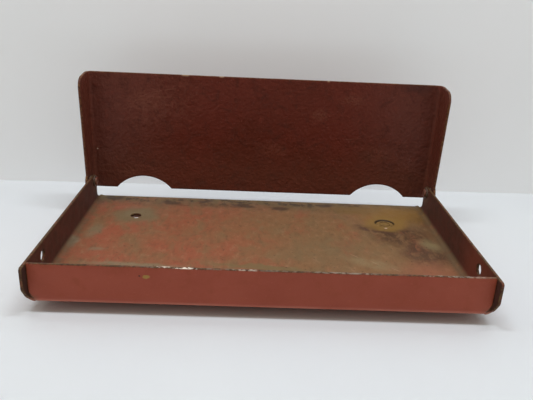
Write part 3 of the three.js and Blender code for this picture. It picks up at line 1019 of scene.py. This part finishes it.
def front_wall_marks(look, color, y, z):
    """A chip with a dark dot, painted glints along the top edge, and a painted highlight along the lower fold."""
    front = look.span(y, TRAY_FRONT + LIP_SETBACK + 3.5 * MM, TRAY_FRONT + LIP_SETBACK + 2.5 * MM)
    chip = look.line((-91, 24), (-84, 25), 1.7, "upright", look.ragged(2.2 * MM, 260))
    color = look.layer(color, (168, 142, 66), chip, front, 0.8)
    dot = look.line((-93.4, 25), (-91.4, 25), 0.8, "upright")
    color = look.layer(color, (40, 26, 20), dot, front, 0.9)
    # painted glints: bright highlight stretches along the front wall's top edge, broken up by noise
    top = look.span(z, FLOOR_Z + LIP_HEIGHT - 0.75 * MM, FLOOR_Z + LIP_HEIGHT - 0.35 * MM)
    gaps = look.span(look.noise(460, 3, 0.6, stretch=(0.6, 1, 1)), 0.46, 0.56)
    glints = 0.0
    for low, high, strength in (
        (-84, -44, 1.3), (-26, -2, 0.45), (112, 176, 0.22), (30, 90, 0.2), (-130, 130, 0.1),
    ):
        wear_and_glint = look.line((low, 32), (high, 32), 3, "upright")
        glints = look.math("MAXIMUM", look.times(wear_and_glint, strength), glints)
    glints = look.math("MULTIPLY", look.times(glints, gaps), look.times(top, front), True)
    color = look.layer(color, (246, 232, 214), glints)
    # painted highlight: a paler band along the front wall's rounded lower fold, broken up by noise
    lit_lower_fold = look.span(z, FLOOR_Z + 4.5 * MM, FLOOR_Z + 1.5 * MM)
    fold_sheen_breakup = look.span(look.noise(60, 4, stretch=(0.3, 1, 1)), 0.3, 0.55)
    return look.layer(color, (196, 126, 108), front, lit_lower_fold, fold_sheen_breakup, 0.5)


def tray_paint():
    look = Look("tray_paint")
    x = look.axis("X")
    y = look.axis("Y")
    z = look.axis("Z")
    broad = look.noise(22, 5, 0.6)
    medium = look.noise(85, 5, 0.6, shift=0.4)
    streaks = look.noise(95, 6, 0.7, stretch=(0.3, 1, 1), shift=2.6, twist=0.6)
    low_down = look.span(z, FLOOR_TOP + 1 * MM, FLOOR_TOP + 5 * MM, 1.0, 0.0)
    floor = look.math("MULTIPLY", low_down, look.span(look.facing("Z"), 0.3, 0.8), True)
    inner = look.span(look.times(look.facing("X"), look.math("SIGN", x)), -0.35, -0.8)

    faded = hole_marks(look, floor_stains(look, floor_color(look, x, broad), y))
    color = look.mix(floor, wall_color(look, y, broad, medium, streaks, inner), faded)
    # light scratches in the floor
    marks = (
        ((80, -11), (88, -20), 0.45), ((96, -24), (104, -32), 0.4), ((112, -36), (121, -44), 0.45),
    )
    scratches = look.lines(marks, "floor", look.ragged(2.5 * MM, 40))
    color = look.layer(color, (180, 146, 116), scratches, floor, 0.5)
    # painted light: a paler brown patch on each wall round its pivot
    for side in (-1, 1):
        centre = (side * TRAY_HALF, PIVOT_Y + 3 * MM, PIVOT_Z - 2 * MM)
        rust_and_lit_patch = look.spot(centre, (12 * MM, 16 * MM, 15 * MM), solid=0.35, where=look.ragged(5 * MM, 160))
        color = look.layer(color, (124, 92, 74), rust_and_lit_patch, 0.7)
    # darker olive in the fold between the floor and each wall
    crease = look.span(look.math("ABSOLUTE", x), TRAY_HALF - 12 * MM, TRAY_HALF - 5 * MM)
    color = look.layer(color, (104, 84, 60), crease, low_down, look.span(streaks, 0.3, 0.6), 0.7)
    color, bare = worn_edges(look, color, 0.75, (96, 72, 42))
    color = front_wall_marks(look, color, y, z)

    rough = look.span(medium, 0.3, 0.7, 0.4, 0.54)
    rough = look.math("ADD", rough, look.times(floor, 0.16))
    rough = look.math("ADD", rough, look.times(inner, 0.3))
    rough = look.math("ADD", rough, look.times(bare, 0.2), True)
    relief = look.bump(look.noise(900, 2), 0.12, 0.4 * MM)
    relief = look.bump(streaks, 0.2, 0.8 * MM, relief)
    return look.finish(color, rough, relief, specular=0.3)


def guard_color(look, x, z, medium):
    """Dark red-brown, mottled, paler towards the bottom, with painted highlights at the upper left and along the
    folds.
    """
    fine = look.noise(520, 3, 0.6)
    red = look.mix(look.span(look.noise(16, 4, 0.6), 0.35, 0.65), linear(105, 43, 30), linear(96, 40, 26))
    color = look.layer(red, (104, 56, 45), look.span(look.math("ABSOLUTE", x), 0.07, 0.165, 0.0, 0.85))
    color = look.layer(color, (80, 38, 28), look.span(medium, 0.48, 0.7, 0.0, 0.7))
    pale = look.span(look.noise(100, 5, 0.7, shift=4.0), 0.52, 0.72, 0.0, 0.6)
    color = look.layer(color, (118, 54, 40), pale)
    color = look.layer(color, (124, 66, 50), look.span(fine, 0.55, 0.72, 0.0, 0.35))
    # painted highlight: a paler blotchy sheen on the upper left of the face
    centre = (-112 * MM, 0, 104 * MM + FLOOR_Z)
    upper_left_sheen = look.spot(centre, (74 * MM, FAR, 42 * MM), -0.3, "Y", 0.1, look.ragged(16 * MM, 40))
    blotchy = look.noise(180, 5, 0.7, stretch=(0.7, 1, 1), shift=8.2, twist=1.0)
    color = look.layer(color, (126, 72, 58), upper_left_sheen, look.span(blotchy, 0.42, 0.62), 0.5)
    # painted highlight: paler bands along the two folds
    middle_z = 90 * MM
    fold_sheen_right, fold_sheen_left = [
        look.spot((side * (GUARD_FOLD + 3 * MM), 0, middle_z), (6 * MM, FAR, middle_z), solid=0.2)
        for side in (1, -1)
    ]
    color = look.layer(color, (120, 66, 52), look.math("MAXIMUM", fold_sheen_right, fold_sheen_left), 0.2)
    # paler towards the bottom
    paler_low_down = look.span(z, GUARD_TOP - 60 * MM, GUARD_TOP - 110 * MM, 0.0, 0.2)
    color = look.layer(color, (132, 92, 76), paler_low_down)
    ragged = look.ragged(7 * MM, 90)
    for x0, z0, rx, rz, strength in (
        (-140, 31, 17, 10, 0.5), (58, 101, 13, 9, 0.5), (10, 62, 20, 12, 0.3),
        (-120, 110, 30, 16, 0.35), (120, 60, 26, 14, 0.3), (90, 118, 18, 8, 0.35),
    ):
        mask = look.spot((x0 * MM, 0, z0 * MM + FLOOR_Z), (rx * MM, FAR, rz * MM), 0, "Y", 0.2, ragged)
        color = look.layer(color, (132, 80, 62), mask, look.span(fine, 0.35, 0.6), strength)
    corner = (158 * MM, 0, 137 * MM + FLOOR_Z)
    dark = look.spot(corner, (26 * MM, FAR, 15 * MM), 0, "Y", 0.3, ragged)
    return look.layer(color, (54, 32, 28), dark, 0.45)


def guard_paint():
    look = Look("guard_paint")
    z = look.axis("Z")
    medium = look.noise(70, 5, 0.65, shift=0.9, twist=0.8)
    color = guard_color(look, look.axis("X"), z, medium)
    # one long curved scratch, a short one, and a bare dot at the left fold
    marks = (
        ((-141, 96), (-137, 104)), ((-138, 103), (-131, 111)), ((-132, 110), (-118, 118)),
        ((-119, 117.5), (-104, 121)), ((-105, 121), (-90, 123)), ((81, 75), (107, 79)),
    )
    scratches = look.lines([(*mark, 0.4) for mark in marks], "upright", look.ragged(2.0 * MM, 70))
    color = look.layer(color, (146, 94, 76), scratches, 0.36)
    color = look.layer(color, (206, 184, 166), look.line((-176, 56), (-174, 56), 0.8, "upright"), 0.8)
    color, bare = worn_edges(look, color, 0.35, (122, 84, 52))
    # chips in the top edge
    top = look.span(z, GUARD_TOP - 1.6 * MM, GUARD_TOP - 0.6 * MM)
    for x0, reach in ((-82, 5), (-45, 3), (64, 2)):
        chip = look.line((x0 - reach, 137), (x0 + reach, 137), 3, "upright", look.ragged(3 * MM, 120))
        color = look.layer(color, (190, 160, 130), chip, top, 0.6)
    rough = look.math("ADD", look.span(medium, 0.3, 0.7, 0.34, 0.5), look.times(bare, 0.2), True)
    relief = look.bump(look.noise(300, 3, 0.55), 0.7, 1.2 * MM)
    relief = look.bump(look.noise(140, 4, 0.6, stretch=(1, 1, 0.6)), 0.6, 1.8 * MM, relief)
    relief = look.bump(scratches, 0.25, 0.3 * MM, relief)
    return look.finish(color, rough, relief, specular=0.19)


def metal_paint(name, paint, bare, scale, shine):
    """Painted or rusted steel hardware with worn spots."""
    look = Look(name)
    patchy = look.span(look.noise(scale, 4, 0.6), 0.42, 0.64)
    color = look.mix(patchy, paint, bare)
    color = look.mix(look.span(look.noise(scale * 4, 3), 0.58, 0.72, 0.0, 0.7), color, DARK_RUST)
    rough = look.span(look.noise(scale * 2, 3, shift=1.0), 0.3, 0.7, shine, shine + 0.22)
    relief = look.bump(look.noise(scale * 3, 4), 0.3, 0.25 * MM)
    return look.finish(color, rough, relief, look.times(patchy, 0.5))


def give(made, material):
    made.data.materials.clear()
    made.data.materials.append(material)


# ---------------------------------------------------------------- the object

tray = build_tray()
guard = build_guard()
give(tray, tray_paint())
give(guard, guard_paint())

rivet_look = metal_paint("rivet_metal", linear(120, 62, 48), linear(142, 104, 84), 240, 0.36)
washer_look = metal_paint("washer_metal", linear(104, 76, 58), linear(128, 116, 104), 300, 0.4)
nut_look = metal_paint("nut_metal", linear(112, 68, 52), linear(122, 104, 88), 260, 0.42)
screw_look = metal_paint("screw_metal", linear(140, 106, 52), linear(128, 96, 46), 200, 0.6)
for side, label in ((-1, "left"), (1, "right")):
    give(build_rivet(side, label), rivet_look)
    give(build_washer(f"spacer_washer_{label}", f"spacer_{label}", side), washer_look)
    give(build_washer(f"inner_washer_{label}", f"washer_{label}", side), washer_look)
    for row in ("front", "rear"):
        node = f"weld_nut_{row}_{label}"
        give(build_nut(node, f"nut_{row}_{label}"), nut_look)
        give(build_beads(node, f"beads_{row}_{label}"), nut_look)
give(build_screw(), screw_look)

# ---------------------------------------------------------------- stage

WALL_DISTANCE = 0.185  # from the origin back to the wall, at the middle
WALL_TURN = math.radians(1.75)


def plain(name, color, mottle, seed):
    look = Look(name)
    tone = look.mix(look.span(look.noise(3.0, 3, shift=seed), 0.3, 0.7), color, mottle)
    return look, tone


def build_stage():
    half = 4.0
    ground = mesh_object("ground", [(-half, -half, 0), (half, -half, 0), (half, half, 0), (-half, half, 0)],
                         [(0, 1, 2, 3)], smooth=False)
    look, tone = plain("table", linear(226, 229, 231), linear(223, 226, 229), 0.0)
    give(ground, look.finish(tone, 0.6, look.bump(look.noise(40, 3), 0.02, 1 * MM), specular=0.25))
    reach = 2.5
    wall = mesh_object("backdrop", [(-reach, 0, 0), (reach, 0, 0), (reach, 0, 1.6), (-reach, 0, 1.6)],
                       [(0, 1, 2, 3)], smooth=False)
    wall.matrix_world = Matrix.Translation((0, WALL_DISTANCE, 0)) @ Matrix.Rotation(WALL_TURN, 4, "Z")
    look, tone = plain("wall", linear(236, 238, 239), linear(231, 234, 235), 4.0)
    material = look.finish(tone, 0.8, look.bump(look.noise(60, 3), 0.02, 1 * MM), specular=0.2)
    look.shader.inputs["Emission Color"].default_value = (0.97, 0.985, 1.0, 1.0)
    look.shader.inputs["Emission Strength"].default_value = 0.12
    # seen from its back, the wall lets the view through
    clear = look.add("ShaderNodeBsdfTransparent")
    choose = look.add("ShaderNodeMixShader")
    back = look.add("ShaderNodeNewGeometry").outputs["Backfacing"]
    look.put(choose.inputs[0], back)
    look.put(choose.inputs[1], look.shader.outputs[0])
    look.put(choose.inputs[2], clear.outputs[0])
    output = look.tree.nodes["Material Output"]
    look.put(output.inputs["Surface"], choose.outputs[0])
    give(wall, material)
    wall.visible_shadow = False


def area_light(name, place, target, size, size_y, power, color):
    data = bpy.data.lights.new(name, "AREA")
    data.shape = "RECTANGLE"
    data.size = size
    data.size_y = size_y
    data.energy = power
    data.color = color
    light = bpy.data.objects.new(name, data)
    bpy.context.scene.collection.objects.link(light)
    aim = Vector(target) - Vector(place)
    light.matrix_world = Matrix.Translation(place) @ aim.to_track_quat("-Z", "Y").to_matrix().to_4x4()


def build_lights():
    area_light("overhead", (0.0, -0.09, 1.25), (0.0, -0.09, 0.0), 1.1, 0.09, 9.0, (0.93, 1.0, 1.06))
    area_light("left_lamp", (-1.1, -0.35, 1.15), (0.0, 0.0, 0.0), 0.25, 0.25, 1.1, (1.0, 0.9, 0.78))
    area_light("right_lamp", (0.9, -0.3, 1.35), (0.0, 0.0, 0.0), 0.3, 0.3, 0.9, (0.86, 0.93, 1.0))
    world = bpy.data.worlds.new("soft")
    world.use_nodes = True
    sky = world.node_tree.nodes["Background"]
    sky.inputs["Color"].default_value = (1.0, 0.88, 0.76, 1.0)
    sky.inputs["Strength"].default_value = 0.37
    bpy.context.scene.world = world
    bpy.context.scene.view_settings.view_transform = "Standard"


LENS = 39.42
CAMERA_PLACE = (-0.01396, -0.48715, 0.24810)
CAMERA_YAW = math.radians(-1.93)
CAMERA_PITCH = math.radians(-21.52)
CAMERA_ROLL = math.radians(-2.76)


def build_camera():
    data = bpy.data.cameras.new("camera")
    data.sensor_width = 36.0
    data.lens = LENS
    camera = bpy.data.objects.new("camera", data)
    bpy.context.scene.collection.objects.link(camera)
    yaw = Matrix.Rotation(CAMERA_YAW, 4, "Z")
    pitch = Matrix.Rotation(CAMERA_PITCH, 4, "X")
    roll = Matrix.Rotation(CAMERA_ROLL, 4, "Y")
    place = Matrix.Translation(CAMERA_PLACE)
    camera.matrix_world = place @ yaw @ pitch @ roll @ Matrix.Rotation(math.pi / 2, 4, "X")
    bpy.context.scene.camera = camera


build_stage()
build_lights()
build_camera()
